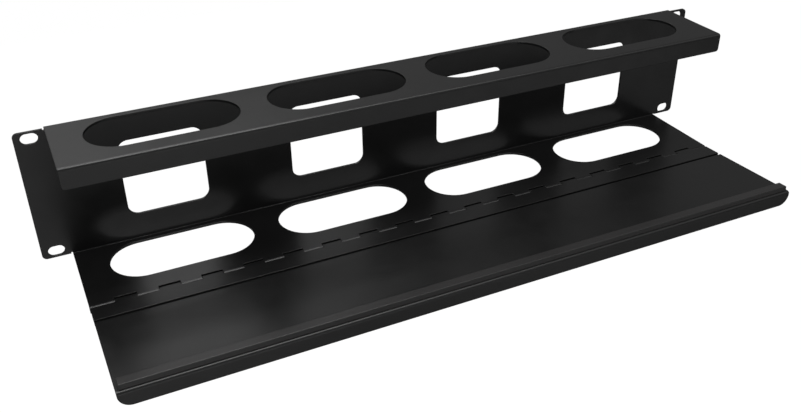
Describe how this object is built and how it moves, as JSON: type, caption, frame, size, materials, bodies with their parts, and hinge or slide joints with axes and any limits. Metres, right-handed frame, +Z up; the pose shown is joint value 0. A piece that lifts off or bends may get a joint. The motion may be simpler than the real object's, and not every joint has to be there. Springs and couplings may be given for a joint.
{
  "type": "horizontal cable manager",
  "caption": "Rack-mount horizontal cable duct in black sheet steel, with rear windows, oblong cable openings above and below, and a drop-down hinged cover.",
  "frame": {"origin": "centre of the four rack slots, on the front face of the ears", "axes": "+X to the right seen from the front, +Y to the back of the rack, +Z up"},
  "size_m": [0.4826, 0.146, 0.0924],
  "materials": {
    "powder_coat": "satin black powder coat",
    "pin_steel": "drawn steel rod",
    "magnet_strip": "matt black flexible magnet"
  },
  "bodies": {
    "chassis": {"duct": "powder_coat", "hinge_pin": "pin_steel"},
    "front_cover": {"cover": "powder_coat", "hinge_leaf": "powder_coat", "closing_strip": "magnet_strip"}
  },
  "joints": [
    {"name": "cover_hinge", "type": "hinge", "parent": "chassis", "child": "front_cover", "pos_m": [0, -0.05995, -0.0449], "axis": [-1, 0, 0], "range_deg": [0, 85.1]}
  ]
}
